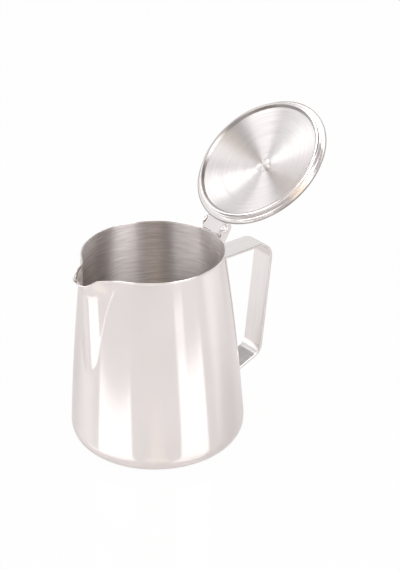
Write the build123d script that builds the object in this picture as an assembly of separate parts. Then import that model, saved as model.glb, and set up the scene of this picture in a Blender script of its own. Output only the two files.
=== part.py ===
"""Hot milk jug with a hinged lid, shown open as it stands on a table.

Frame: millimetres, +Z up, origin at the centre of the base. The handle is on +X, the
spout on -X, and the lid turns about an axis along Y just outside the rim.
"""
import os
from math import atan2, cos, pi, radians, sin, sqrt, tan

from build123d import *

# Jug body
RIM_RADIUS = 44.0          # outside of the wall at the rim
BASE_RADIUS = 55.7         # where the wall's line meets the base plane
HEIGHT = 128.0             # base to rim
WALL = 0.7                 # sheet of the body
WALL_BULGE = 1.2           # how far the wall swells out of its straight line
FOOT_RADIUS = 12.0         # round corner between wall and base
BASE_RING = 6.0            # flat ring the jug stands on, inside the round corner
BASE_RECESS = 1.2          # the base is drawn in this much inside the ring

# Spout
SPOUT_LENGTH = 70.0        # rim down to where the channel runs out in the wall
RIDGE_OUT = 11.2           # rim circle to the spout's ridge under the lip
LIP_OUT = 16.2             # rim circle to the flare's end at rim height
LIP_HEIGHT = 9.0           # height of the flared lip
LIP_DIP = 4.6              # fall of the pouring edge from the rim to the flare's end
CHANNEL_RADIUS = 7.0       # rounding of the channel's ridge
CHANNEL_HALF_ANGLE = 44.0  # between a channel side and the spout's middle plane
LIP_HALF_ANGLE = 35.0      # the same at the lip

# Handle, one bent strip
STRIP_WIDTH = 16.5
STRIP_SHEET = 1.6
STRIP_DROP = 16.8          # rim down to the top of the upper strip
GRIP_OUT = 45.9            # rim circle to the outside of the grip at the upper strip
GRIP_LEAN = 7.7            # the grip leans in towards its lower end, degrees
LEG_HEIGHT = 33.5          # grip's lower corner above the base
LEG_SLOPE = 21.0           # the lower leg falls towards the wall, degrees
UPPER_BEND = 10.6          # radii of the bends, measured on the outside
LOWER_BEND = 9.0
FOOT_BEND = 4.0
UPPER_FOOT = 13.0          # lengths of the feet along the wall
LOWER_FOOT = 9.0

# Lid, one pressed sheet
LID_SHEET = 0.8
LID_OVERHANG = 2.0         # flange past the outside of the rim
SEAT_GAP = 0.15            # flange above the rim when closed
PLUG_CLEARANCE = 0.4       # bead to the inside of the mouth
BEAD_DEPTH = 4.2           # the bead that sits in the mouth, below the flange
BEAD_FLAT = 1.4            # its foot, on the sheet's middle line
BEAD_CORNER = 0.9          # radius of its corners, on the middle line
FLANGE_CORNER = 0.4        # radius between bead and flange, inside
BEAD_WIDTH = 2.9           # outside of the bead to the edge of the dome
DOME_DROP = 2.2            # flange down to the edge of the dome
DOME_RISE = 6.8            # edge of the dome up to its middle
OPEN_ANGLE = 140.6         # closed to the stop, degrees

# Hinge
PIN_DIAMETER = 2.0
PIN_RUNNING = 0.03         # radial clearance in the lid's barrel
PIN_SEAT = 0.01            # radial clearance in the bracket's ears
PIN_OUT = 3.0              # edge of the lid to the pin's axis
HEAD_DIAMETER = 4.8        # domed heads of the pin
HEAD_HEIGHT = 1.3
LEAF_SHEET = 0.8
LEAF_WIDTH = 16.0
LEAF_SEAT = 3.2            # the leaf lies on this much of the flange
LEAF_CURL = 285.0          # how far the leaf is rolled round the pin, degrees
EAR_GAP = 0.3              # leaf to each ear
BRACKET_SHEET = 1.2
EAR_MARGIN = 2.2           # ear outside the pin's hole
BRACKET_DROP = 11.0        # rim down to the bracket's lower end
BRACKET_BACK = 5.0         # pin's axis to the bracket's back corner
NOTCH_DROP = 1.5           # rim down to where the ear's front edge turns to the wall
STOP_LENGTH = 6.6          # pin to the far end of the stop shoulder
STOP_GAP = 0.15            # open lid to the shoulder

# Knob
KNOB_DIAMETER = 19.0
KNOB_HEAD = 8.0            # heights of head, neck and foot
KNOB_NECK = 9.0
KNOB_FOOT = 2.0
NECK_DIAMETER = 9.0
FOOT_DIAMETER = 13.0
KNOB_ROUND = 2.6
SCREW_DIAMETER = 4.0
SCREW_CLEARANCE = 0.15     # screw in the lid and the washer, radial
THREAD_GAP = 0.03          # screw in the knob, radial
SCREW_DEPTH = 9.0          # screw into the knob
SCREW_END_GAP = 0.6        # knob's hole past the end of the screw
SCREW_HEAD_DIAMETER = 9.6
SCREW_HEAD = 2.0
WASHER_DIAMETER = 15.0
WASHER = 0.8

# Places that follow from the sizes
LID_RADIUS = RIM_RADIUS + LID_OVERHANG
LID_UNDER = HEIGHT + SEAT_GAP
LID_TOP = LID_UNDER + LID_SHEET
DOME_UNDER = LID_UNDER - DOME_DROP + DOME_RISE
DOME_TOP = DOME_UNDER + LID_SHEET
PLUG_RADIUS = RIM_RADIUS - WALL - PLUG_CLEARANCE
BARREL_BORE = PIN_DIAMETER / 2 + PIN_RUNNING
PIN_X = LID_RADIUS + PIN_OUT
PIN_Z = LID_TOP + LEAF_SHEET + BARREL_BORE
EAR_RADIUS = PIN_DIAMETER / 2 + EAR_MARGIN
EAR_INNER = LEAF_WIDTH / 2 + EAR_GAP
EAR_OUTER = EAR_INNER + BRACKET_SHEET
FAR = 4 * HEIGHT           # reach of cutting blocks past what they cut

# The wall's line is an arc through the rim and the corner at the base
WALL_RUN = BASE_RADIUS - RIM_RADIUS
WALL_CHORD = sqrt(WALL_RUN**2 + HEIGHT**2)
WALL_ARC = (WALL_CHORD**2 / 4 + WALL_BULGE**2) / (2 * WALL_BULGE)
ARC_X = (RIM_RADIUS + BASE_RADIUS) / 2 - (WALL_ARC - WALL_BULGE) * HEIGHT / WALL_CHORD
ARC_Z = HEIGHT / 2 - (WALL_ARC - WALL_BULGE) * WALL_RUN / WALL_CHORD


def wall_radius(z, inset=0.0):
    """Radius of the wall at height z, inset from its outside."""
    return ARC_X + sqrt((WALL_ARC - inset)**2 - (z - ARC_Z)**2)


def polygon(*points):
    """Side view face from (x, z) points."""
    return make_face(Polyline(*points, close=True))


def across(side_view, width):
    """Prism of a side view, centred on the jug's middle plane."""
    return extrude(Plane.XZ * side_view, amount=width / 2, both=True)


def turned(side_view):
    """Solid of revolution of a side view about the jug's axis."""
    return revolve(Plane.XZ * side_view, Axis.Z)


def disc(diameter, low, high):
    """Upright cylinder on the jug's axis."""
    standing = (Align.CENTER, Align.CENTER, Align.MIN)
    return Pos(0, 0, low) * Cylinder(diameter / 2, high - low, align=standing)


def across_pin(diameter, width):
    """Cylinder on the pin's axis, centred on the middle plane."""
    return Pos(PIN_X, 0, PIN_Z) * Rot(90, 0, 0) * Cylinder(diameter / 2, width)


# Jug body

def pot(inset):
    """Round form under the wall's surface, inset from its outside."""
    middle = (inset + HEIGHT) / 2
    corner = (wall_radius(inset, inset), inset)
    rim = (wall_radius(HEIGHT, inset), HEIGHT)
    wall = ThreePointArc(corner, (wall_radius(middle, inset), middle), rim)
    floor = Line((0, inset), corner)
    mouth = Line(rim, (0, HEIGHT))
    axis = Line((0, HEIGHT), (0, inset))
    face = make_face([floor, wall, mouth, axis])
    foot = face.vertices().sort_by_distance(corner)[0]
    return turned(fillet(foot, FOOT_RADIUS - inset))


def channel_section(z, reach, half_angle, inset):
    """Rounded V across the spout at height z, running back into the jug."""
    side = radians(half_angle)
    radius = CHANNEL_RADIUS - inset
    centre = radius + inset - reach
    touch_x = centre - radius * sin(side)
    touch_y = radius * cos(side)
    back_x = -RIM_RADIUS / 2
    back_y = touch_y + (back_x - touch_x) * tan(side)
    near = Line((back_x, -back_y), (touch_x, -touch_y))
    ridge = ThreePointArc((touch_x, -touch_y), (centre - radius, 0), (touch_x, touch_y))
    far = Line((touch_x, touch_y), (back_x, back_y))
    back = Line((back_x, back_y), (back_x, -back_y))
    return Pos(0, 0, z) * make_face([near, ridge, far, back])


def channel(inset):
    """Pouring channel up to the lip, and the flared lip on it."""
    low = HEIGHT - SPOUT_LENGTH
    under_lip = HEIGHT - LIP_HEIGHT
    end = channel_section(low, wall_radius(low), CHANNEL_HALF_ANGLE, inset)
    neck = channel_section(under_lip, RIM_RADIUS + RIDGE_OUT, CHANNEL_HALF_ANGLE, inset)
    lip = channel_section(HEIGHT, RIM_RADIUS + LIP_OUT, LIP_HALF_ANGLE, inset)
    return loft([end, neck], ruled=True) + loft([neck, lip], ruled=True)


def base_recess(level):
    """Shallow cone that draws the base in above the given level."""
    ring_inner = BASE_RADIUS - FOOT_RADIUS - BASE_RING
    standing = (Align.CENTER, Align.CENTER, Align.MIN)
    return Pos(0, 0, level) * Cone(ring_inner, ring_inner - 2 * BASE_RECESS, BASE_RECESS, align=standing)


def above_lip():
    """Block over the slope from the rim down to the lip's tip."""
    fall = LIP_DIP / LIP_OUT
    return across(polygon(
        (-RIM_RADIUS, HEIGHT),
        (-FAR, HEIGHT - fall * (FAR - RIM_RADIUS)),
        (-FAR, FAR),
        (-RIM_RADIUS, FAR),
    ), FAR)


def outside():
    """The jug's outer form, not hollowed."""
    return pot(0) + channel(0)


def jug_body():
    hollow = pot(WALL) + channel(WALL) - base_recess(WALL)
    return outside() - hollow - base_recess(0) - above_lip()


# Handle

def strip_corners():
    """Corners of the strip's middle line, from the upper foot round to the lower foot."""
    half = STRIP_SHEET / 2
    top = HEIGHT - STRIP_DROP - half
    grip_x = RIM_RADIUS + GRIP_OUT - half
    corner_x = grip_x - (top - LEG_HEIGHT) * tan(radians(GRIP_LEAN))
    # The leg falls until it meets the wall, which widens on the way down
    meet = LEG_HEIGHT
    for _ in range(8):
        meet = LEG_HEIGHT - (corner_x - wall_radius(meet) - half) * tan(radians(LEG_SLOPE))
    feet = [top - UPPER_FOOT, top, meet, meet - LOWER_FOOT]
    upper_end, upper, lower, lower_end = [(wall_radius(z) + half, z) for z in feet]
    return [upper_end, upper, (grip_x, top), (corner_x, LEG_HEIGHT), lower, lower_end]


def foot_filler(first, second):
    """Fills the strip's foot up to the round wall."""
    inward = STRIP_WIDTH / 2
    return across(polygon(
        first, second, (second[0] - inward, second[1]), (first[0] - inward, first[1]),
    ), STRIP_WIDTH)


def handle():
    corners = strip_corners()
    bends = [bend - STRIP_SHEET / 2 for bend in (FOOT_BEND, UPPER_BEND, LOWER_BEND, FOOT_BEND)]
    strip = across(trace(FilletPolyline(*corners, radius=bends), STRIP_SHEET), STRIP_WIDTH)
    # Each filler stops short of its bend
    upper = (corners[1][0], corners[1][1] - FOOT_BEND)
    lower = (corners[4][0], corners[4][1] - FOOT_BEND)
    fillers = foot_filler(corners[0], upper) + foot_filler(lower, corners[5])
    return strip + fillers - outside()


# Lid, drawn closed

def lid():
    """Flange, bead and dome as one sheet, flat in the middle where the knob stands."""
    half = LID_SHEET / 2
    bead = PLUG_RADIUS - half
    edge = (PLUG_RADIUS - BEAD_WIDTH, LID_UNDER - DOME_DROP + half)
    seat = (WASHER_DIAMETER / 2, DOME_UNDER + half)
    foot = LID_UNDER - BEAD_DEPTH + half
    flange = LID_UNDER + half
    outer = FilletPolyline(
        edge, (bead - BEAD_FLAT, foot), (bead, foot), (bead, flange), (LID_RADIUS, flange),
        radius=[BEAD_CORNER / 2, BEAD_CORNER, FLANGE_CORNER + half])
    dome = TangentArc(seat, edge, tangent=(1, 0))
    middle = Line((0, seat[1]), seat)
    joint = Pos(*edge) * Circle(half)
    sheet = turned(trace(outer, LID_SHEET) + trace([middle, dome], LID_SHEET) + joint)
    return sheet - disc(SCREW_DIAMETER + 2 * SCREW_CLEARANCE, DOME_UNDER - 1, DOME_TOP + 1)


def knob_washer():
    washer = disc(WASHER_DIAMETER, DOME_TOP, DOME_TOP + WASHER)
    return washer - disc(SCREW_DIAMETER + 2 * SCREW_CLEARANCE, DOME_TOP - 1, DOME_TOP + WASHER + 1)


def knob():
    foot = DOME_TOP + WASHER
    neck = foot + KNOB_FOOT
    head = neck + KNOB_NECK
    top = head + KNOB_HEAD
    round_head = disc(KNOB_DIAMETER, head, top)
    round_head = fillet(round_head.edges().filter_by(GeomType.CIRCLE), KNOB_ROUND)
    body = disc(FOOT_DIAMETER, foot, neck) + disc(NECK_DIAMETER, neck, head) + round_head
    hole = disc(SCREW_DIAMETER + 2 * THREAD_GAP, foot - 1, foot + SCREW_DEPTH + SCREW_END_GAP)
    return body - hole


def knob_screw():
    head = disc(SCREW_HEAD_DIAMETER, DOME_UNDER - SCREW_HEAD, DOME_UNDER)
    head = fillet(head.edges().sort_by(Axis.Z)[0], SCREW_HEAD / 2)
    return head + disc(SCREW_DIAMETER, DOME_UNDER, DOME_TOP + WASHER + SCREW_DEPTH)


def lid_leaf():
    """Plate on the flange, rolled up round the pin."""
    inner = LID_RADIUS - LEAF_SEAT
    middle = PIN_Z - BARREL_BORE - LEAF_SHEET / 2
    roll = CenterArc((PIN_X, PIN_Z), PIN_Z - middle, -90, LEAF_CURL)
    plate = trace(Line((inner, middle), (PIN_X, middle)), LEAF_SHEET)
    return across(plate + trace(roll, LEAF_SHEET), LEAF_WIDTH)


# Hinge bracket and pin

def on_open_lid(along, above):
    """(x, z) beside the open lid: along it from the pin, above its top face."""
    lift = radians(180 - OPEN_ANGLE)
    drop = LID_TOP - PIN_Z + above
    return (PIN_X + along * cos(lift) + drop * sin(lift), PIN_Z + along * sin(lift) - drop * cos(lift))


def ear():
    """Side view of the bracket, running into the wall. Its top shoulder stops the open lid."""
    shoulder = PIN_Z - LID_TOP - STOP_GAP
    near = on_open_lid(sqrt(EAR_RADIUS**2 - shoulder**2), STOP_GAP)
    far = on_open_lid(STOP_LENGTH, STOP_GAP)
    middle = (atan2(near[1] - PIN_Z, near[0] - PIN_X) + pi) / 2
    over = (PIN_X + EAR_RADIUS * cos(middle), PIN_Z + EAR_RADIUS * sin(middle))
    front = (PIN_X - EAR_RADIUS, PIN_Z)
    low = HEIGHT - BRACKET_DROP
    edge = Polyline(
        front, (front[0], HEIGHT - NOTCH_DROP), (RIM_RADIUS - WALL, HEIGHT - NOTCH_DROP - EAR_RADIUS),
        (RIM_RADIUS - WALL, low), (wall_radius(low), low), (PIN_X + BRACKET_BACK, PIN_Z), far, near)
    return make_face([edge, ThreePointArc(near, over, front)])


def hinge_bracket():
    low = HEIGHT - BRACKET_DROP
    back_low = (wall_radius(low), low)
    back_high = (PIN_X + BRACKET_BACK, PIN_Z)
    # The space between the ears, in front of the sloping web
    slope = atan2(back_high[1] - back_low[1], back_high[0] - back_low[0])
    step = (-BRACKET_SHEET * sin(slope), BRACKET_SHEET * cos(slope))
    web_low = (back_low[0] + step[0] - FAR * cos(slope), back_low[1] + step[1] - FAR * sin(slope))
    web_high = (back_high[0] + step[0], back_high[1] + step[1])
    space = polygon(web_low, web_high, (FAR, web_high[1]), (FAR, FAR), (-FAR, FAR))
    bracket = across(ear(), 2 * EAR_OUTER) - across(space, 2 * EAR_INNER)
    return bracket - across_pin(PIN_DIAMETER + 2 * PIN_SEAT, 2 * FAR) - outside()


def hinge_pin():
    """Rivet with a domed head outside each ear."""
    ball = (HEAD_DIAMETER**2 / 4 + HEAD_HEIGHT**2) / (2 * HEAD_HEIGHT)
    pin = across_pin(PIN_DIAMETER, 2 * EAR_OUTER)
    for side in (-1, 1):
        outer = Pos(PIN_X, side * (EAR_OUTER + ball), PIN_Z) * Box(2 * ball, 2 * ball, 2 * ball)
        dome = Pos(PIN_X, side * (EAR_OUTER + HEAD_HEIGHT - ball), PIN_Z) * Sphere(ball)
        pin += dome & outer
    return pin


def opened(shape):
    """Turns a closed lid piece about the pin to the stop."""
    return shape.rotate(Axis((PIN_X, 0, PIN_Z), (0, 1, 0)), OPEN_ANGLE)


PARTS = {
    "jug_body": jug_body(),
    "handle": handle(),
    "hinge_bracket": hinge_bracket(),
    "hinge_pin": hinge_pin(),
    "lid": opened(lid()),
    "lid_leaf": opened(lid_leaf()),
    "knob": opened(knob()),
    "knob_washer": opened(knob_washer()),
    "knob_screw": opened(knob_screw()),
}

os.makedirs("parts", exist_ok=True)
for name, shape in PARTS.items():
    solids = shape.solids()
    box = shape.bounding_box()
    print(name, len(solids), "solid", round(shape.volume), "mm3", box.min, box.max)
    export_step(shape, f"parts/{name}.step")
print("pin", round(PIN_X, 3), round(PIN_Z, 3))
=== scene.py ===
# %% [markdown]
# # A stainless steel milk jug with a hinged lid
# This lesson dresses the solid model of a small milk jug: a tapered pot with a pressed spout, a bent
# strip handle, and a lid that swings open on a hinge over the handle. All of it is bare steel, so the
# lesson is mostly about two things. Polished metal shows every bump of a mesh, so each piece is modelled
# again with clean, even faces. And metal has hardly any colour of its own, so its look comes from its
# finish (mirror polished or brushed) and from what stands round it to be reflected.

# %% Load the solid model
from math import atan2, cos, pi, radians, sin, sqrt, tan

import bpy
from mathutils import Euler, Matrix, Vector


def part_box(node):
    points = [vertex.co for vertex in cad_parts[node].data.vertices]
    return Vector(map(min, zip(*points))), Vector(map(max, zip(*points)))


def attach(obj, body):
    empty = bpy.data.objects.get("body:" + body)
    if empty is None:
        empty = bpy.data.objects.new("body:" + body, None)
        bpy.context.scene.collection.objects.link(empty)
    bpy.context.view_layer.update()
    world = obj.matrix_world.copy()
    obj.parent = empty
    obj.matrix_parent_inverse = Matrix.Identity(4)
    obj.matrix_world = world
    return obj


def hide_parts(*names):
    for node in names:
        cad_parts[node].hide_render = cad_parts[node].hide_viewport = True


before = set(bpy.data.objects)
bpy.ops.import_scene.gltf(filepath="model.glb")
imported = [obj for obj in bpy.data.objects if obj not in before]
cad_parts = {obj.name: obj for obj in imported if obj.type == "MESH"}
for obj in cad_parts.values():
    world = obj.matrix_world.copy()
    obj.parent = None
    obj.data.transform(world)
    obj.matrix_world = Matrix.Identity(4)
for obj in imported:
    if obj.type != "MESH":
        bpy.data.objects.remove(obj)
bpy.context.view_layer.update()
print("nodes:", sorted(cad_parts))

# %% [markdown]
# ## The camera
# The camera comes first, because every shape below was fitted to the photograph through it. It stands
# at the spout's side of the jug and looks down at it. A long lens, far away, keeps the perspective
# gentle. The angles could be guessed by eye. Here they were worked out from the ellipses of the rim, the
# foot and the lid.

# %% Place the camera
MM = 0.001
CAMERA_PLACE = Vector((-556.4, -765.9, 586.1)) * MM
CAMERA_TILT = 63.006     # degrees from straight down
CAMERA_TURN = -37.709    # degrees about the upright axis
CAMERA_ROLL = -0.809     # the horizon leans a little
CAMERA_LENS = 108.84     # millimetres
CAMERA_SENSOR = 36       # millimetres along the picture's long side

camera = bpy.data.objects.new("camera", bpy.data.cameras.new("camera"))
bpy.context.scene.collection.objects.link(camera)
aim = Euler((radians(CAMERA_TILT), 0, radians(CAMERA_TURN))).to_matrix()
aim = aim @ Matrix.Rotation(radians(CAMERA_ROLL), 3, "Z")
camera.matrix_world = Matrix.Translation(CAMERA_PLACE) @ aim.to_4x4()
camera.data.sensor_width = CAMERA_SENSOR
camera.data.lens = CAMERA_LENS
camera.data.clip_end = 50
bpy.context.scene.camera = camera
print("camera stands", round(CAMERA_PLACE.length, 3), "m from the jug")

# %% [markdown]
# ## Drawing tools
# Every piece of this jug starts as a line: the side view of a sheet. A line could be a curve object, but
# a chain of mesh edges keeps each point exactly where it is put. A tiny plane is shrunk to one point,
# and that point is extruded from place to place, as with a pencil. Corners get arcs first, because bent
# sheet metal never has a sharp corner.

# %% Helpers for lines
def deselect():
    """Leaves edit mode with nothing selected."""
    if bpy.context.mode != "OBJECT":
        bpy.ops.object.mode_set(mode="OBJECT")
    bpy.ops.object.select_all(action="DESELECT")


def arc(centre, radius, start, end, steps):
    """Points (x, z) on an arc, angles in degrees."""
    angles = [radians(start + (end - start) * k / steps) for k in range(steps + 1)]
    return [(centre[0] + radius * cos(a), centre[1] + radius * sin(a)) for a in angles]


def rounded(corners, radii, steps=6):
    """The corner points with an arc in place of each inner corner."""
    line = [tuple(corners[0])]
    for before, corner, after, radius in zip(corners, corners[1:], corners[2:], radii):
        corner = Vector(corner)
        back = (Vector(before) - corner).normalized()
        on = (Vector(after) - corner).normalized()
        half = back.angle(on) / 2
        centre = corner + (back + on).normalized() * radius / sin(half)
        start = corner + back * radius / tan(half) - centre
        end = corner + on * radius / tan(half) - centre
        line += [tuple(centre + start.slerp(end, k / steps) * radius) for k in range(steps + 1)]
    return line + [tuple(corners[-1])]


def draw_line(name, points, y=0.0):
    """A new mesh: one chain of edges through side-view points (x, z) in millimetres. Stays in edit mode."""
    deselect()
    places = [Vector((x, y, z)) * MM for x, z in points]
    bpy.ops.mesh.primitive_plane_add(size=MM, location=places[0], calc_uvs=False)
    piece = bpy.context.object
    piece.name = name
    piece.data.name = name
    bpy.ops.object.transform_apply()
    bpy.ops.object.mode_set(mode="EDIT")
    bpy.ops.mesh.merge(type="CENTER")
    for here, there in zip(places, places[1:]):
        bpy.ops.mesh.extrude_vertices_move(TRANSFORM_OT_translate={"value": there - here})
    return piece


# %% [markdown]
# ## Turning and finishing tools
# Round pieces are turned: the side view is spun round an axis, as on a lathe. Strips are drawn across:
# the side view is extruded to the strip's width. Both give a sheet with no thickness, and the Solidify
# modifier makes it metal. A Bevel modifier then breaks the sharp edges, because a real edge always
# catches a thin line of light. Each modifier is applied, so that the mesh is final.

# %% Helpers for turning and drawing across
TOUCHING = MM / 1000         # points that are closer than this are one point


def close_up(outward):
    """Merges doubles and turns the faces so that the one furthest along outward faces that way."""
    bpy.ops.mesh.select_all(action="SELECT")
    bpy.ops.mesh.remove_doubles(threshold=TOUCHING)
    bpy.ops.mesh.normals_make_consistent(inside=False)
    bpy.ops.object.mode_set(mode="OBJECT")
    mesh = bpy.context.object.data
    furthest = max(mesh.polygons, key=lambda face: face.center.dot(outward))
    if furthest.normal.dot(outward) < 0:
        bpy.ops.object.mode_set(mode="EDIT")
        bpy.ops.mesh.select_all(action="SELECT")
        bpy.ops.mesh.flip_normals()
        bpy.ops.object.mode_set(mode="OBJECT")


def turn(arcs, outward):
    """Spins the line in edit mode round the upright axis, through arcs of (degrees, steps)."""
    bpy.ops.mesh.select_all(action="SELECT")
    for degrees, steps in arcs:
        bpy.ops.mesh.spin(steps=steps, angle=radians(degrees), center=(0, 0, 0), axis=(0, 0, 1))
    close_up(Vector(outward))


def draw_across(width, steps, outward):
    """Extrudes the line in edit mode along +Y to a strip."""
    bpy.ops.mesh.select_all(action="SELECT")
    for _ in range(steps):
        bpy.ops.mesh.extrude_edges_move(TRANSFORM_OT_translate={"value": (0, width * MM / steps, 0)})
    close_up(Vector(outward))


# %% Helpers for thickness and edges
ROUND_BELOW = 35             # degrees; edges that turn by less belong to a curve and are shaded smooth
FLAT_BELOW = 12              # the same on small sheet parts, which have to look flat


def apply_modifier(piece, kind, **settings):
    """Adds a modifier, sets it and applies it."""
    bpy.context.view_layer.objects.active = piece
    modifier = piece.modifiers.new(kind.lower(), kind)
    for name, value in settings.items():
        setattr(modifier, name, value)
    bpy.ops.object.modifier_apply(modifier=modifier.name)


def thicken(piece, sheet, offset, **settings):
    """Gives a sheet its thickness in millimetres; offset -1 grows inwards, 0 both ways."""
    apply_modifier(piece, "SOLIDIFY", thickness=sheet * MM, offset=offset, use_even_offset=True, **settings)


def smooth_shading(piece, angle):
    """Smooths the shading over edges that turn by less than an angle in degrees."""
    deselect()
    piece.select_set(True)
    bpy.context.view_layer.objects.active = piece
    bpy.ops.object.shade_smooth_by_angle(angle=radians(angle))


def break_edges(piece, width, above=50, segments=3):
    """Rounds the edges that turn by more than some degrees, and smooths the shading of the rest."""
    apply_modifier(piece, "BEVEL", width=width * MM, segments=segments, limit_method="ANGLE",
                   angle_limit=radians(above), use_clamp_overlap=True)
    smooth_shading(piece, ROUND_BELOW)


def keep_flats(piece):
    """Lets large faces rule the shading, so that flat sheet stays flat up to its rounded edges."""
    apply_modifier(piece, "WEIGHTED_NORMAL", keep_sharp=True, weight=80)


# %% Helper for the finished piece
def finish_piece(piece, body, node):
    """Puts a finished piece in the place of its solid and says how well the two boxes agree."""
    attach(piece, body)
    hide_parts(node)
    corners = [piece.matrix_world @ Vector(c) for c in piece.bound_box]
    low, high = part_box(node)
    off = 0.0
    for k in range(3):
        along = [corner[k] for corner in corners]
        off = max(off, abs(min(along) - low[k]), abs(max(along) - high[k]))
    triangles = sum(len(face.vertices) - 2 for face in piece.data.polygons)
    print(f"{piece.name}: {triangles} triangles, box within {off / MM:.2f} mm of its solid")


# %% [markdown]
# ## The pot
# The pot is one sheet of steel, drawn and spun: a base that is pushed in a little, a generous round
# foot, and a wall that swells slightly as it narrows towards the rim. A lathe gives all of that. The
# steps are finer where the spout will be.

# %% Turn the pot
WALL = 0.7
RIM_HEIGHT = 128.0
RIM_RADIUS = 44.0
WALL_ARC = 1721.53           # the wall is a very large arc
WALL_CENTRE = (-1663.34, -92.60)
FOOT_CENTRE = (42.987, 12.0)
FOOT_RADIUS = 12.0
FOOT_END = 3.508             # degrees, where the foot's arc meets the wall's


def wall_radius(z):
    """Axis to the outside of the wall at a height."""
    return WALL_CENTRE[0] + sqrt(WALL_ARC**2 - (z - WALL_CENTRE[1])**2)


# The rows stand closer where the spout starts, at its neck and at the rim
base = rounded([(0, 1.2), (35.3, 1.2), (37.7, 0), (42.0, 0)], [3, 3], 4)
foot = arc(FOOT_CENTRE, FOOT_RADIUS, -90, FOOT_END, 16)
heights = [15, 18, 22, 27, 32, 37, 42, 47, 51, 54] + [56 + k for k in range(14)]
heights += [70 + 1.5 * k for k in range(27)] + [111 + k for k in range(15)]
heights += [125.6, 126.1, 126.5, 126.8, 127.1, 127.4, 127.7, RIM_HEIGHT]
wall = [(wall_radius(z), z) for z in heights]
pot = draw_line("polished_pot", base + foot + wall)
turn([(140, 70), (80, 180), (140, 70)], outward=(0, 0, -1))
print("pot:", len(pot.data.polygons), "faces")

# %% [markdown]
# ## The spout
# The spout is pressed out of the wall: a rounded V that starts half way up and ends in a flared lip,
# with the pouring edge dipping towards its tip. It could be cut on with a Boolean, but that leaves a
# hard seam and bad reflections. Instead each point of the turned wall slides outwards, along its own
# radius, to the V's surface where that lies outside the wall. A soft maximum of the two distances gives
# the creased but rounded edge that a press leaves in sheet. The crease is crisp on the wall and runs out
# softly at the rim.

# %% Sizes of the spout
SPOUT_FOOT = 59.5
SPOUT_NECK = 115.5
NECK_REACH = 51.8            # axis to the ridge of the V at the neck
RIDGE_RADIUS = 15.0
CHANNEL_HALF = 47.2          # degrees between a side of the V and its middle
LIP_RADIUS = 8.5             # the V gets tighter towards the lip
LIP_HALF = 33.0
LIP_FLARE = 0.49             # how much more the lip leans out than the channel
LIP_CURL = 1.1               # the last few millimetres of the tip bend over
CURL_DEPTH = 4.5
RIM_DIP = 1.0                # the pouring edge comes down a little all round the spout
LIP_DIP = 3.6                # and more at the tip
DIP_START = -6.0             # how far outside the rim's circle the edge starts to come down
DIP_SPAN = 5.0
TIP_START = 4.2              # the same for the dip at the tip
TIP_SPAN = 7.0
NECK_BLEND = 6.0             # height over which the channel bends into the lip
CREASE = 0.6                 # softness of the crease where the V leaves the wall
RIM_CREASE = 4.0             # the same at the rim
CREASE_RISE = 12.0           # height over which the one becomes the other
LIP_START = 100.0            # points above this come down with the pouring edge
print("spout: from", SPOUT_FOOT, "mm up the wall to its neck at", SPOUT_NECK, "mm")


# %% The shape of the spout
def soft_max(a, b, width):
    """The larger of two lengths, with a round change from one to the other."""
    near = max(width - abs(a - b), 0) / width
    return max(a, b) + near**3 * width / 6


def soft_step(t):
    """From zero to one with a soft start and a soft end."""
    t = min(max(t, 0), 1)
    return t * t * (3 - 2 * t)


def soft_ramp(t, width):
    """Zero, then rising one for one, with a round start."""
    if t < -width / 2:
        return 0.0
    return t if t > width / 2 else (t + width / 2)**2 / (2 * width)


def channel_distance(angle, z):
    """Axis to the rounded V, along a ray that leaves the spout's middle by an angle."""
    rise = (NECK_REACH - wall_radius(SPOUT_FOOT)) / (SPOUT_NECK - SPOUT_FOOT)
    above = soft_ramp(z - SPOUT_NECK, NECK_BLEND)
    share = min(above / (RIM_HEIGHT - SPOUT_NECK), 1)
    ridge = RIDGE_RADIUS + (LIP_RADIUS - RIDGE_RADIUS) * share
    half = radians(CHANNEL_HALF + (LIP_HALF - CHANNEL_HALF) * share)
    centre = wall_radius(SPOUT_FOOT) + rise * (z - SPOUT_FOOT) + LIP_FLARE * above - ridge
    inside = ridge**2 - (centre * sin(angle))**2
    if inside > 0:
        distance = centre * cos(angle) + sqrt(inside)
        if distance * sin(angle) <= ridge * cos(half):
            return distance
    apex = centre + ridge / sin(half)
    return apex * sin(half) / sin(angle + half)


def spout_radius(angle, z):
    """Axis to the outside of the wall or of the spout, whichever is further out."""
    crease = CREASE + (RIM_CREASE - CREASE) * soft_step((z - SPOUT_NECK) / CREASE_RISE)
    return soft_max(wall_radius(z), channel_distance(angle, z), crease)


def edge_height(angle):
    """Height of the pouring edge at an angle."""
    z = RIM_HEIGHT
    for _ in range(8):
        out = spout_radius(angle, z) * cos(angle) - RIM_RADIUS
        all_round = RIM_DIP * soft_step((out - DIP_START) / DIP_SPAN)
        at_tip = LIP_DIP * soft_step((out - TIP_START) / TIP_SPAN)
        z = RIM_HEIGHT - all_round - at_tip
    return z


print("ridge at the neck:", round(spout_radius(0, SPOUT_NECK), 2), "mm from the axis")

# %% [markdown]
# The rim has a small rolled bead. It is pressed in the same pass: just under the edge every point moves
# out by a third of a millimetre. At the tip of the lip the edge bends over further, as a drip lip does.

# %% Press the spout and the bead
SPOUT_SPAN = 40.0            # degrees on each side that the press can reach
PRESS_LOW = 40.0             # and the height below which it does nothing
CURL_START = 4.0             # how far outside the rim's circle the edge starts to bend over
BEAD = 0.35
BEAD_HEIGHT = 1.15
BEAD_BLEND = 0.5

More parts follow.
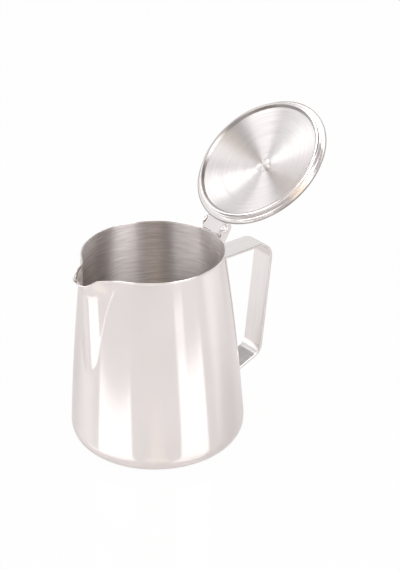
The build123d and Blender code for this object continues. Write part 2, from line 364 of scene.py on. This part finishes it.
for vertex in pot.data.vertices:
    x, y, z = vertex.co / MM
    if z < PRESS_LOW:
        continue
    angle = abs(atan2(y, -x))
    edge, radius, curl = RIM_HEIGHT, wall_radius(z), 0.0
    if angle < radians(SPOUT_SPAN):
        edge = edge_height(angle)
        if z > LIP_START:
            z = LIP_START + (z - LIP_START) * (edge - LIP_START) / (RIM_HEIGHT - LIP_START)
        radius = spout_radius(angle, z)
        out = spout_radius(angle, edge) * cos(angle) - RIM_RADIUS
        bend = max(1 - (edge - z) / CURL_DEPTH, 0)**2
        curl = LIP_CURL * soft_step((out - CURL_START) / TIP_SPAN) * bend
    radius += curl + BEAD * soft_step((BEAD_HEIGHT - (edge - z)) / BEAD_BLEND)
    side = atan2(y, x)
    vertex.co = Vector((radius * cos(side), radius * sin(side), z)) * MM
lip_edge = edge_height(0)
lip_reach = spout_radius(0, lip_edge) + LIP_CURL
print("spout: lip edge at", round(lip_edge, 2), "mm, reaches", round(lip_reach, 2), "mm")

# %% [markdown]
# The sheet now gets its thickness, inwards, so that the outside stays where the solid model has it. The
# inner faces get a slot of their own, because the pot is mirror polished outside and brushed inside. The
# rim's two edges are broken by a fine bevel, which is what draws the bright line round the mouth.

# %% Make the pot a sheet
for _ in range(3):
    pot.data.materials.append(None)
thicken(pot, WALL, -1, material_offset=1, material_offset_rim=2)
break_edges(pot, 0.3, above=60, segments=4)
finish_piece(pot, "jug", "jug_body")

# %% [markdown]
# ## Rings for the brushing
# Brushed metal shines across its scratches, so the shader has to know which way they run. On this jug
# they run round an axis, in the pot and on the lid. A UV map whose U goes round the axis tells it. The
# map is worked out face by face, so that the seam stays clean.

# %% Helper for UV rings
RINGS_PER_METRE = 10
ON_AXIS = MM / 100           # a point nearer to the axis than this has no angle of its own


def map_rings(piece):
    """UV map with U round the jug's axis and V along the side view."""
    layer = piece.data.uv_layers.new(name="rings")
    for face in piece.data.polygons:
        middle = atan2(face.center.y, face.center.x)
        for loop in face.loop_indices:
            place = piece.data.vertices[piece.data.loops[loop].vertex_index].co
            angle = atan2(place.y, place.x) if place.xy.length > ON_AXIS else middle
            angle = middle + (angle - middle + pi) % (2 * pi) - pi
            layer.data[loop].uv = (angle / (2 * pi), (place.z + place.xy.length) * RINGS_PER_METRE)


map_rings(pot)
print("ring maps:", [layer.name for layer in pot.data.uv_layers])

# %% [markdown]
# ## The handle
# The handle is one flat strip, bent four times: a foot on the wall under the rim, a level run outwards,
# a long grip that leans in, a lower leg that falls to the wall, and a second foot. The middle line is
# drawn with its bends and extruded to the strip's width. The feet are pressed to the round wall, so
# there the points move back along X by as much as the wall curves away.

# %% Bend the strip
STRIP_WIDTH = 16.5
STRIP_SHEET = 1.6
STRIP_CORNERS = [(48.47, 97.4), (46.98, 110.4), (89.1, 110.4), (78.70, 33.5), (55.0, 24.4), (55.6, 15.4)]
STRIP_BENDS = [3.2, 9.8, 8.2, 3.2]
FOOT_BLEND = 3.0             # gap to the wall at which the strip is flat again

handle = draw_line("strip_handle", rounded(STRIP_CORNERS, STRIP_BENDS, 12), y=-STRIP_WIDTH / 2)
draw_across(STRIP_WIDTH, 12, outward=(1, 0, 0))
for vertex in handle.data.vertices:
    x, y, z = vertex.co / MM
    gap = x - wall_radius(z) - STRIP_SHEET / 2
    on_wall = 1 - soft_step(gap / FOOT_BLEND)
    vertex.co.x -= on_wall * (x - sqrt(x**2 - y**2)) * MM
thicken(handle, STRIP_SHEET, 0)
break_edges(handle, 0.35)
keep_flats(handle)
finish_piece(handle, "jug", "handle")

# %% [markdown]
# ## The lid
# The lid is a pressed sheet as well. From the edge inwards it has a flat flange that rests on the rim, a
# bead that drops into the mouth, and a shallow dome with a flat seat for the knob. It is modelled
# closed, on the jug's axis, because that is where a lathe can turn it. A last step swings it open about
# the hinge pin.

# %% Turn the lid
LID_SHEET = 0.8
DOME_SEAT = (7.5, 133.15)
DOME_EDGE = (40.0, 126.35)
DOME_ARC = 81.07
SCREW_HOLE = 2.15
PIN_SIDE = (49.0, 130.78)    # the hinge pin in the side view
PIN = Vector((PIN_SIDE[0], 0, PIN_SIDE[1])) * MM
OPEN_ANGLE = 140.6

dome_turn = atan2(DOME_EDGE[0] - DOME_SEAT[0], DOME_ARC - (DOME_SEAT[1] - DOME_EDGE[1])) * 180 / pi
dome = arc((DOME_SEAT[0], DOME_SEAT[1] - DOME_ARC), DOME_ARC, 90, 90 - dome_turn, 24)
bead = rounded([dome[-2], DOME_EDGE, (41.1, 124.35), (42.5, 124.35), (42.5, 128.55), (45.4, 128.55)],
               [0.5, 0.45, 0.9, 0.8], 5) + [(46.0, 128.55)]
lid = draw_line("pressed_lid", [(SCREW_HOLE, DOME_SEAT[1]), (5, DOME_SEAT[1])] + dome[:-2] + bead)
turn([(360, 200)], outward=(0, 0, 1))
for _ in range(3):
    lid.data.materials.append(None)
thicken(lid, LID_SHEET, 0, material_offset=1, material_offset_rim=2)
break_edges(lid, 0.2, above=60)
keep_flats(lid)
map_rings(lid)
print("lid:", len(lid.data.polygons), "faces, dome turns", round(dome_turn, 1), "degrees")


# %% Swing a closed lid piece open
def swing_open(piece):
    """Turns a piece of the closed lid about the pin to its stop, in its mesh."""
    deselect()
    piece.select_set(True)
    bpy.context.view_layer.objects.active = piece
    bpy.ops.object.mode_set(mode="EDIT")
    bpy.ops.mesh.select_all(action="SELECT")
    bpy.ops.transform.rotate(value=-radians(OPEN_ANGLE), orient_axis="Y", orient_type="GLOBAL",
                             center_override=PIN)
    bpy.ops.object.mode_set(mode="OBJECT")


swing_open(lid)
finish_piece(lid, "cover", "lid")

# %% [markdown]
# ## The knob, its washer and its screw
# In the photograph only the screw's round head shows, in the middle of the lid's inside. Its thread
# holds a turned knob on the other side, with a washer between knob and lid. All three are small lathe
# pieces with rounded edges.

# %% Turn the knob, washer and screw
KNOB_LINE = rounded([(0, 153.35), (9.5, 153.35), (9.5, 145.35), (4.5, 145.35), (4.5, 136.35), (6.5, 136.35),
                     (6.5, 134.35), (2.03, 134.35), (2.03, 143.9), (0, 143.9)],
                    [2.6, 2.6, 1.2, 1.0, 0.5, 0.3, 0.2, 0.2], 6)
WASHER_LINE = rounded([(2.15, 134.0), (2.15, 134.35), (7.5, 134.35), (7.5, 133.55), (2.15, 133.55),
                       (2.15, 134.0)], [0.1, 0.3, 0.15, 0.1], 4)
SCREW_LINE = rounded([(0, 130.75), (4.8, 130.9), (4.8, 132.75), (2.0, 132.75), (2.0, 143.35), (0, 143.35)],
                     [1.0, 0.2, 0.1, 0.4], 6)

for name, node, line, out in (("turned_knob", "knob", KNOB_LINE, (0, 0, 1)),
                              ("knob_seat", "knob_washer", WASHER_LINE, (0, 0, 1)),
                              ("screw", "knob_screw", SCREW_LINE, (0, 0, -1))):
    piece = draw_line(name, line)
    turn([(360, 96)], outward=out)
    break_edges(piece, 0.05, above=80, segments=1)
    map_rings(piece)
    swing_open(piece)
    finish_piece(piece, "cover", node)

# %% [markdown]
# ## The hinge
# Three pieces make the hinge. A leaf is welded on the lid's flange: a plate that runs on past the pin,
# with a knuckle under it that the pin goes through. A bracket is folded from sheet: a web on the wall,
# with an ear on each side that holds the pin. The pin is a rivet with a domed head outside each ear.
# Small folded parts like these are quickest as blocks, joined and cut with Booleans.

# %% Helpers for folded parts
def prism(name, outline, half_width):
    """A closed side-view outline, filled and extruded across the middle plane."""
    piece = draw_line(name, [*outline, outline[0]], y=-half_width)
    bpy.ops.mesh.select_all(action="SELECT")
    bpy.ops.mesh.remove_doubles(threshold=TOUCHING)
    bpy.ops.mesh.edge_face_add()
    bpy.ops.mesh.extrude_region_move(TRANSFORM_OT_translate={"value": (0, 2 * half_width * MM, 0)})
    close_up(Vector((0, 1, 0)))
    return piece


def lay_on_pin(piece):
    """Turns a piece that was made on the upright axis so that it lies on the hinge pin."""
    deselect()
    piece.select_set(True)
    bpy.context.view_layer.objects.active = piece
    bpy.ops.object.mode_set(mode="EDIT")
    bpy.ops.mesh.select_all(action="SELECT")
    bpy.ops.transform.rotate(value=radians(90), orient_axis="X", orient_type="GLOBAL",
                             center_override=(0, 0, 0))
    bpy.ops.transform.translate(value=PIN)
    bpy.ops.object.mode_set(mode="OBJECT")


def combine(piece, tool, operation):
    """Joins a tool to a piece or cuts it out, and removes the tool."""
    apply_modifier(piece, "BOOLEAN", operation=operation, solver="EXACT", object=tool)
    bpy.data.objects.remove(tool)


# %% Make the leaf
LEAF_HALF = 7.7
LEAF_LOW = 128.95            # the plate lies on the flange
LEAF_HIGH = 129.75
LEAF_BACK = 42.8
LEAF_TIP = 53.85
KNUCKLE_HOLE = 1.02
KNUCKLE_RADIUS = 1.7
KNUCKLE_HALF = 7.4

plate = [(LEAF_BACK, LEAF_LOW), (LEAF_TIP, LEAF_LOW), (LEAF_TIP, LEAF_HIGH), (LEAF_BACK, LEAF_HIGH)]
leaf = prism("hinge_leaf", plate, LEAF_HALF)
break_edges(leaf, 0.2)
tube = [(KNUCKLE_HOLE, -KNUCKLE_HALF), (KNUCKLE_RADIUS, -KNUCKLE_HALF),
        (KNUCKLE_RADIUS, KNUCKLE_HALF), (KNUCKLE_HOLE, KNUCKLE_HALF)]
knuckle = draw_line("knuckle", [*tube, tube[0]])
turn([(360, 48)], outward=(0, 0, 1))
lay_on_pin(knuckle)
combine(leaf, knuckle, "UNION")
smooth_shading(leaf, FLAT_BELOW)
swing_open(leaf)
finish_piece(leaf, "cover", "lid_leaf")

# %% Fold the bracket
EAR_INNER = 8.3
EAR_OUTER = 9.5
BRACKET_SHEET = 1.2
BACK_LOW = (45.36, 117.0)
BACK_HIGH = (54.0, 130.78)
EAR_RADIUS = 3.2
EAR_TIP = (53.0, 136.1)
EAR_FOOT = [(43.0, 117.0), (43.0, 123.3), (45.8, 126.5)]

ear_arc = arc(PIN_SIDE, EAR_RADIUS, 180, 77.5, 12)
ear_line = ear_arc + [EAR_TIP, BACK_HIGH, BACK_LOW] + EAR_FOOT
bracket = prism("folded_bracket", ear_line, EAR_OUTER)

# The room between the ears, in front of the web; its other corners only have to lie outside the bracket
slope = (Vector(BACK_HIGH) - Vector(BACK_LOW)).normalized()
step = Vector((-slope.y, slope.x)) * BRACKET_SHEET
low = Vector(BACK_LOW) + step - slope * 30
high = Vector(BACK_HIGH) + step
room = prism("room", [low, high, (80, high.y), (80, 160), (0, 160)], EAR_INNER)
combine(bracket, room, "DIFFERENCE")
break_edges(bracket, 0.25, above=30)
print("bracket folded:", len(bracket.data.polygons), "faces")

# %% [markdown]
# Two more cuts fit the bracket to its neighbours. The web is hollowed by a drum round the pin, where the
# leaf's plate swings past. Then the wall itself is cut away, let in a little so that no gap shows at the
# weld. Both come after the edges are broken, because the thin slivers of a cut would stop the bevel.

# %% Fit the bracket
SWING_RADIUS = 5.45
SWING_HALF = 8.1
LET_IN = 0.15
CORE_HEIGHTS = (105, 110, 115, 120, 125, 128)

drum = [(0, -SWING_HALF), (SWING_RADIUS, -SWING_HALF), (SWING_RADIUS, SWING_HALF), (0, SWING_HALF)]
swing = draw_line("swing", drum)
turn([(360, 64)], outward=(0, 0, 1))
lay_on_pin(swing)
combine(bracket, swing, "DIFFERENCE")

core_side = [(wall_radius(z) - LET_IN, z) for z in CORE_HEIGHTS]
core = draw_line("core", [(0, CORE_HEIGHTS[0]), *core_side, (0, CORE_HEIGHTS[-1])])
turn([(360, 200)], outward=(0, 0, 1))
combine(bracket, core, "DIFFERENCE")
smooth_shading(bracket, FLAT_BELOW)
finish_piece(bracket, "jug", "hinge_bracket")

# %% Turn the rivet
SHANK = 1.0
HEAD_RADIUS = 2.4
HEAD_HEIGHT = 1.3
BALL = (HEAD_RADIUS**2 + HEAD_HEIGHT**2) / (2 * HEAD_HEIGHT)    # the head is a cap of a ball
BALL_CENTRE = EAR_OUTER + HEAD_HEIGHT - BALL

half_angle = atan2(HEAD_RADIUS, BALL - HEAD_HEIGHT)
head_angles = [half_angle * k / 8 for k in range(9)]
head = [(BALL * sin(a), BALL_CENTRE + BALL * cos(a)) for a in head_angles]
rivet_line = head + [(SHANK, EAR_OUTER), (SHANK, -EAR_OUTER)] + [(r, -y) for r, y in reversed(head)]
rivet = draw_line("rivet", rivet_line)
turn([(360, 48)], outward=(0, 0, 1))
break_edges(rivet, 0.1, above=60, segments=2)
lay_on_pin(rivet)
finish_piece(rivet, "jug", "hinge_pin")

# %% [markdown]
# ## Node tools
# Materials are made of nodes. A few small helpers keep the wiring short: one adds a node with its
# settings, one starts a group, and one places it. A group is a box of nodes with named sockets, which
# several materials can share.

# %% Helpers for nodes
def add_node(tree, kind, inputs=None, **settings):
    """A new node; inputs maps a socket's name or number to a value or to another node's output."""
    node = tree.nodes.new("ShaderNode" + kind)
    for name, value in settings.items():
        setattr(node, name, value)
    for name, value in (inputs or {}).items():
        if isinstance(value, bpy.types.NodeSocket):
            tree.links.new(value, node.inputs[name])
        else:
            node.inputs[name].default_value = value
    return node


def math(tree, operation, *values):
    """The output of a Math node."""
    return add_node(tree, "Math", dict(enumerate(values)), operation=operation).outputs[0]


def soften(tree, value, low, high, to_low=0.0, to_high=1.0):
    """A value from low to high as a smooth step."""
    sockets = {"Value": value, "From Min": low, "From Max": high, "To Min": to_low, "To Max": to_high}
    return add_node(tree, "MapRange", sockets, interpolation_type="SMOOTHSTEP").outputs["Result"]


def blend(tree, mask, first, second):
    """Two colours, or colour outputs, mixed by a mask."""
    return add_node(tree, "Mix", {0: mask, 6: first, 7: second}, data_type="RGBA").outputs[2]


def new_group(name, inputs, outputs):
    """A node group with float or vector sockets, and its input and output nodes."""
    tree = bpy.data.node_groups.new(name, "ShaderNodeTree")
    for label, default in inputs.items():
        kind = "NodeSocketVector" if default is None else "NodeSocketFloat"
        socket = tree.interface.new_socket(label, in_out="INPUT", socket_type=kind)
        if default is not None:
            socket.default_value = default
    for label in outputs:
        tree.interface.new_socket(label, in_out="OUTPUT", socket_type="NodeSocketFloat")
    return tree, tree.nodes.new("NodeGroupInput").outputs, tree.nodes.new("NodeGroupOutput").inputs


def use_group(tree, group, **inputs):
    """The outputs of a group that is placed in a material."""
    return add_node(tree, "Group", inputs, node_tree=group).outputs


# %% [markdown]
# ## Brush marks
# A brush or belt leaves thousands of fine scratches side by side. They are drawn with a noise that is
# stretched: long in one direction and very fine in the other. On round pieces the long direction goes
# round the axis. The ring map gives the angle, and its sine and cosine lead the noise round in a circle,
# so that it has no seam. On straight strips the object's own coordinates are stretched instead. Hands
# leave marks as well: soft smears and a few specks, from noise that is not stretched.

# %% Group for ring scratches
COARSER = (0.37, 0.37, 0.17)     # the broad scratches are the fine ones drawn coarser


def scratch_noise(tree, vector, out):
    """Coarse and fine scratches from a stretched vector, to the two outputs of a group."""
    noise = add_node(tree, "TexNoise", {"Vector": vector, "Scale": 1.0, "Detail": 4.0, "Roughness": 0.65})
    coarse = add_node(tree, "VectorMath", {0: vector, 1: COARSER}, operation="MULTIPLY")
    broad = add_node(tree, "TexNoise", {"Vector": coarse.outputs[0], "Scale": 1.0, "Detail": 2.0})
    tree.links.new(soften(tree, noise.outputs["Fac"], 0.3, 0.7), out["Fine"])
    tree.links.new(soften(tree, broad.outputs["Fac"], 0.3, 0.7), out["Broad"])


ring_marks, given, out = new_group("ring_marks", {"Rings": None, "Breaks": 2.2, "Lines": 160.0},
                                   ["Fine", "Broad"])
place = add_node(ring_marks, "SeparateXYZ", {0: given["Rings"]}).outputs
angle = math(ring_marks, "MULTIPLY", place["X"], 2 * pi)
circle = [math(ring_marks, function, angle) for function in ("COSINE", "SINE")]
around = [math(ring_marks, "MULTIPLY", value, given["Breaks"]) for value in circle]
along = math(ring_marks, "MULTIPLY", place["Y"], given["Lines"])
vector = add_node(ring_marks, "CombineXYZ", {0: around[0], 1: around[1], 2: along}).outputs[0]
scratch_noise(ring_marks, vector, out)
print("ring scratches:", len(ring_marks.nodes), "nodes")

# %% Group for strip scratches
strip_marks, given, out = new_group("strip_marks", {"Position": None, "Breaks": 40.0, "Lines": 2200.0},
                                    ["Fine", "Broad"])
place = add_node(strip_marks, "SeparateXYZ", {0: given["Position"]}).outputs
stretch = {0: math(strip_marks, "MULTIPLY", place["X"], given["Breaks"]),
           1: math(strip_marks, "MULTIPLY", place["Z"], given["Breaks"]),
           2: math(strip_marks, "MULTIPLY", place["Y"], given["Lines"])}
scratch_noise(strip_marks, add_node(strip_marks, "CombineXYZ", stretch).outputs[0], out)
print("strip scratches:", len(strip_marks.nodes), "nodes")

# %% Group for handling marks
SPECKS_PER_SMEAR = 40.0

handling, given, out = new_group("handling_marks", {"Position": None, "Size": 30.0}, ["Smear", "Speck"])
smear = add_node(handling, "TexNoise", {"Vector": given["Position"], "Scale": given["Size"], "Detail": 3.0,
                                        "Distortion": 0.6})
fine_size = math(handling, "MULTIPLY", given["Size"], SPECKS_PER_SMEAR)
speck = add_node(handling, "TexNoise", {"Vector": given["Position"], "Scale": fine_size, "Detail": 1.0})
handling.links.new(soften(handling, smear.outputs["Fac"], 0.42, 0.68), out["Smear"])
handling.links.new(soften(handling, speck.outputs["Fac"], 0.66, 0.78), out["Speck"])
print("handling marks:", len(handling.nodes), "nodes")

# %% [markdown]
# ## The finishes
# All the metal is the same steel, and only its finish differs, apart from one painted shade. The outside
# of the pot is mirror polished: very low roughness, a touch higher where hands have smeared it. The lid's
# top, bead and flange are polished too, but the press has left them a little duller. The inside of the
# pot and of the lid are brushed in rings, with a strongly one-way shine. The strip and the sheet parts
# have a fine lengthwise grain. The small turned parts show faint tool rings. The lid's cut edge and the
# groove round its dome get a dark, dull steel: painted shade, as the shadow line at the flange's edge
# and in the groove.

# %% Helpers for a steel
def set_rings(tree, shader):
    """Lets the shine follow the ring map."""
    tangent = add_node(tree, "Tangent", direction_type="UV_MAP", uv_map="rings")
    tree.links.new(tangent.outputs["Tangent"], shader.inputs["Tangent"])
    shader.inputs["Anisotropic Rotation"].default_value = 0.25


def steel(name, roughness, dull, bright, mask, relief, one_way=0.0):
    """A steel whose colour, roughness and relief (in millimetres) follow a mask, which a function makes."""
    material = bpy.data.materials.new(name)
    material.use_nodes = True
    tree = material.node_tree
    shader = tree.nodes["Principled BSDF"]
    shader.inputs["Metallic"].default_value = 1.0
    shader.inputs["Anisotropic"].default_value = one_way
    value = mask(tree)
    tree.links.new(blend(tree, value, (*bright, 1), (*dull, 1)), shader.inputs["Base Color"])
    tree.links.new(soften(tree, value, 0.0, 1.0, *roughness), shader.inputs["Roughness"])
    bump = add_node(tree, "Bump", {"Height": value, "Distance": relief * MM})
    tree.links.new(bump.outputs["Normal"], shader.inputs["Normal"])
    if one_way:
        set_rings(tree, shader)
    print(f"{name}: roughness {roughness[0]} to {roughness[1]}")
    return material


# %% Masks for the finishes
SMEAR_SIZE = 26.0            # smears to a metre
RING_BROAD = 0.15            # share of the broad scratches in the rings
STRIP_BROAD = 0.4            # and on the strips


def smear_mask(tree):
    """A mask of smears, with fainter specks."""
    position = add_node(tree, "TexCoord").outputs["Object"]
    marks = use_group(tree, handling, Position=position, Size=SMEAR_SIZE)
    return math(tree, "MAXIMUM", marks["Smear"], math(tree, "MULTIPLY", marks["Speck"], 0.5))


def ring_mask(breaks, lines):
    """A mask of ring scratches: more breaks make them shorter, more lines make them finer."""
    def mask(tree):
        rings = add_node(tree, "UVMap", uv_map="rings").outputs["UV"]
        marks = use_group(tree, ring_marks, Rings=rings, Breaks=breaks, Lines=lines)
        return add_node(tree, "Mix", {0: RING_BROAD, 2: marks["Fine"], 3: marks["Broad"]}).outputs[0]
    return mask


def strip_mask(tree):
    """A mask of scratches along a strip."""
    position = add_node(tree, "TexCoord").outputs["Object"]
    marks = use_group(tree, strip_marks, Position=position)
    return add_node(tree, "Mix", {0: STRIP_BROAD, 2: marks["Fine"], 3: marks["Broad"]}).outputs[0]


# %% Make the steels
polished = steel("polished_steel", (0.06, 0.1), (0.925, 0.895, 0.885), (0.94, 0.91, 0.90),
                 smear_mask, 0.01)
pressed_steel = steel("pressed_steel", (0.16, 0.24), (0.90, 0.87, 0.86), (0.94, 0.91, 0.90),
                      smear_mask, 0.01)
brushed_inside = steel("brushed_inside", (0.44, 0.5), (0.72, 0.665, 0.645), (0.98, 0.94, 0.92),
                       ring_mask(3.0, 125.0), 0.045, one_way=1.0)
brushed_dome = steel("brushed_dome", (0.42, 0.48), (0.87, 0.84, 0.835), (0.96, 0.93, 0.925),
                     ring_mask(0.9, 170.0), 0.002, one_way=1.0)
strip_steel = steel("strip_steel", (0.13, 0.2), (0.84, 0.81, 0.80), (0.91, 0.88, 0.87),
                    strip_mask, 0.002)
sheet_steel = steel("sheet_steel", (0.1, 0.16), (0.90, 0.875, 0.87), (0.96, 0.935, 0.93),
                    strip_mask, 0.001)
# Dark steel for the lid's cut edge and groove: painted shade, a shadow line at the flange and in the groove
painted_shade_steel = steel("painted_shade_steel", (0.3, 0.45), (0.30, 0.28, 0.275), (0.46, 0.435, 0.425),
                 smear_mask, 0.01)
turned_steel = steel("turned_steel", (0.14, 0.26), (0.82, 0.79, 0.78), (0.92, 0.89, 0.88),
                     ring_mask(0.6, 260.0), 0.003, one_way=0.5)

# %% [markdown]
# The pot and the lid have several finishes each, by slot. In the pot the polish goes over the rim and a
# little way inside, further in the lip. On the lid only the dome's inside is brushed: beyond the groove
# round it the inner faces go back to the pressed finish. The groove itself and the cut edge get the dark
# steel, which is painted shade.

# %% Finishes on the pot
POLISHED_RIM = 0.45          # depth of the polish inside the rim
POLISHED_LIP = 2.4           # and in the lip
LIP_SIDE = 24.0              # degrees from the spout's middle where the lip ends
LIP_FADE = 8.0

for slot, material in enumerate((polished, brushed_inside, polished)):
    pot.data.materials[slot] = material
for face in pot.data.polygons:
    middle = face.center / MM
    angle = abs(atan2(middle.y, -middle.x))
    edge = edge_height(angle) if angle < radians(SPOUT_SPAN) else RIM_HEIGHT
    in_lip = soft_step((radians(LIP_SIDE) - angle) / radians(LIP_FADE))
    depth = POLISHED_RIM + (POLISHED_LIP - POLISHED_RIM) * in_lip
    if face.material_index == 1 and middle.z > edge - depth:
        face.material_index = 2
print("brushed faces in the pot:", sum(face.material_index == 1 for face in pot.data.polygons))

# %% Finishes on the lid
GROOVE_RADIUS = 40.6         # the groove between dome and bead
GROOVE_HALF = 0.6
EDGE_RADIUS = 45.45          # the cut edge is outside this

lid_axis = Vector((sin(radians(OPEN_ANGLE)), 0, cos(radians(OPEN_ANGLE))))
lid_centre = PIN + Matrix.Rotation(radians(OPEN_ANGLE), 3, "Y") @ (Vector((0, 0, PIN.z)) - PIN)
for slot, material in enumerate((pressed_steel, brushed_dome, painted_shade_steel)):
    lid.data.materials[slot] = material
for face in lid.data.polygons:
    arm = face.center - lid_centre
    from_axis = (arm - arm.dot(lid_axis) * lid_axis).length / MM
    # The groove and the cut edge take the dark steel: painted shade
    in_groove = face.material_index == 1 and abs(from_axis - GROOVE_RADIUS) < GROOVE_HALF
    if in_groove or from_axis > EDGE_RADIUS:
        face.material_index = 2
    elif from_axis > GROOVE_RADIUS:
        face.material_index = 0
print("brushed faces on the lid:", sum(face.material_index == 1 for face in lid.data.polygons))

# %% Finishes on the small pieces
finishes = {"strip_handle": strip_steel, "folded_bracket": sheet_steel, "hinge_leaf": sheet_steel,
            "rivet": polished, "turned_knob": polished, "knob_seat": turned_steel, "screw": brushed_dome}
for name, material in finishes.items():
    mesh = bpy.data.objects[name].data
    mesh.materials.clear()
    mesh.materials.append(material)
print("pieces with one finish:", list(finishes))

# %% [markdown]
# ## The floor
# A plain pale floor fills the whole picture. The camera sees it as white paper, with only a breath of
# the shadow. Polished walls mirror mostly the floor in front of them, so it has the gloss of an acrylic
# sheet: at a low angle it mirrors the soft boxes, and that gives the pot its upright white bands.

# %% Pale floor with a gloss
FLOOR_SIZE = 8                           # metres
FLOOR_COLOUR = (0.87, 0.83, 0.82, 1)
FLOOR_MIRRORED = (0.86, 0.82, 0.81, 1)   # how the floor glows in the metal
WHITE = (1, 1, 1, 1)
FLOOR_ROUGHNESS = 0.14
FLOOR_IOR = 2.0                          # a strong gloss
CAMERA_SHARE = 0.965                     # the rest keeps the shadow
MIRROR_SHARE = 0.25

deselect()
bpy.ops.mesh.primitive_plane_add(size=FLOOR_SIZE)
floor = bpy.context.object
floor.name = "floor"
material = bpy.data.materials.new("pale_floor")
material.use_nodes = True
tree = material.node_tree
sheet = tree.nodes["Principled BSDF"]
sheet.inputs["Base Color"].default_value = FLOOR_COLOUR
sheet.inputs["Roughness"].default_value = FLOOR_ROUGHNESS
sheet.inputs["IOR"].default_value = FLOOR_IOR
path = add_node(tree, "LightPath").outputs
mirrored = math(tree, "MAXIMUM", path["Is Glossy Ray"], path["Is Transmission Ray"])
glow_colour = blend(tree, path["Is Camera Ray"], FLOOR_MIRRORED, WHITE)
glow = add_node(tree, "Emission", {"Color": glow_colour})
seen = math(tree, "MULTIPLY", path["Is Camera Ray"], CAMERA_SHARE)
share = math(tree, "MAXIMUM", seen, math(tree, "MULTIPLY", mirrored, MIRROR_SHARE))
mixed = add_node(tree, "MixShader", {0: share, 1: sheet.outputs[0], 2: glow.outputs[0]})
tree.links.new(mixed.outputs[0], tree.nodes["Material Output"].inputs["Surface"])
floor.data.materials.append(material)
print("floor:", [round(v, 2) for v in floor.dimensions])

# %% [markdown]
# ## The studio
# Metal is only as good as the room that it mirrors. The room here is a pale grey tent, and each card in
# it is a round patch of another tone: a warm one above the camera, bright low ones at both sides, and
# greys and a dark one behind, which give the brushed lid its wedges and the handle its shade. The camera
# itself sees plain white. Five soft boxes light the jug. Two stand at the right and two at the left, and
# one hangs over the back.

# %% World
CAMERA_SIDE = radians(-126.0)        # direction of the camera, seen from above
TENT = (0.53, 0.51, 0.505, 1)
ROOM_LIGHT = (0.42, 0.42, 0.42, 1)   # what the tent gives to surfaces that do not mirror it


def direction(side, up):
    """Unit vector from the jug, side in degrees from the camera's direction and up above the floor."""
    turn_to = CAMERA_SIDE + radians(side)
    return Vector((cos(turn_to) * cos(radians(up)), sin(turn_to) * cos(radians(up)), sin(radians(up))))


world = bpy.data.worlds.new("white_tent")
bpy.context.scene.world = world
world.use_nodes = True
tree = world.node_tree
toward = add_node(tree, "TexCoord").outputs["Generated"]
CARDS = [  # side, up, full within, gone beyond (degrees), colour
    (-2, 37, 9, 15, (1.6, 1.36, 1.08, 1)),
    (102, 8, 15, 28, (1.34, 1.36, 1.38, 1)),
    (-112, 7, 15, 28, (1.34, 1.37, 1.39, 1)),
    (108, 42, 15, 25, (0.12, 0.11, 0.11, 1)),
    (-122, 41, 8, 18, (0.86, 0.84, 0.835, 1)),
    (-174, 35, 8, 18, (1.1, 1.08, 1.07, 1)),
    (-152, 44, 7, 13, (0.36, 0.35, 0.35, 1)),
    (165, 18, 14, 40, (0.86, 0.85, 0.845, 1)),
]
tone = TENT
for side, up, full, gone, colour in CARDS:
    facing = {0: toward, 1: direction(side, up)}
    near = add_node(tree, "VectorMath", facing, operation="DOT_PRODUCT").outputs["Value"]
    patch = soften(tree, near, cos(radians(gone)), cos(radians(full)))
    tone = blend(tree, patch, tone, colour)
path = add_node(tree, "LightPath").outputs
mirrored = math(tree, "MAXIMUM", path["Is Glossy Ray"], path["Is Transmission Ray"])
lit = blend(tree, mirrored, ROOM_LIGHT, tone)
background = tree.nodes["Background"]
tree.links.new(blend(tree, path["Is Camera Ray"], lit, WHITE), background.inputs["Color"])
print("world:", len(CARDS), "cards in the tent")


# %% Soft boxes
JUG_MIDDLE = Vector((0, 0, 0.08))


def soft_box(name, side, up, distance, width, height, shine):
    """A rectangular lamp that faces the jug; shine is how bright its face looks."""
    data = bpy.data.lights.new(name, "AREA")
    data.shape = "RECTANGLE"
    data.size = width
    data.size_y = height
    data.energy = shine * pi * width * height
    lamp = bpy.data.objects.new(name, data)
    bpy.context.scene.collection.objects.link(lamp)
    outward = direction(side, up)
    lamp.location = JUG_MIDDLE + outward * distance
    lamp.rotation_euler = outward.to_track_quat("Z", "Y").to_euler()
    print(name, "gives", round(data.energy, 2), "W")


soft_box("right_box", 48, 34, 1.2, 0.78, 0.95, 2.7)
soft_box("right_low", 34, 10, 1.2, 0.26, 0.22, 1.0)
soft_box("left_box", -58, 28, 1.2, 1.0, 0.5, 2.8)
soft_box("left_far", -92, 32, 1.2, 0.46, 0.24, 1.5)
soft_box("top_box", -160, 68, 1.3, 0.9, 0.8, 1.8)

# Plain tones, so that a colour comes out as it is written
bpy.context.scene.view_settings.view_transform = "Standard"
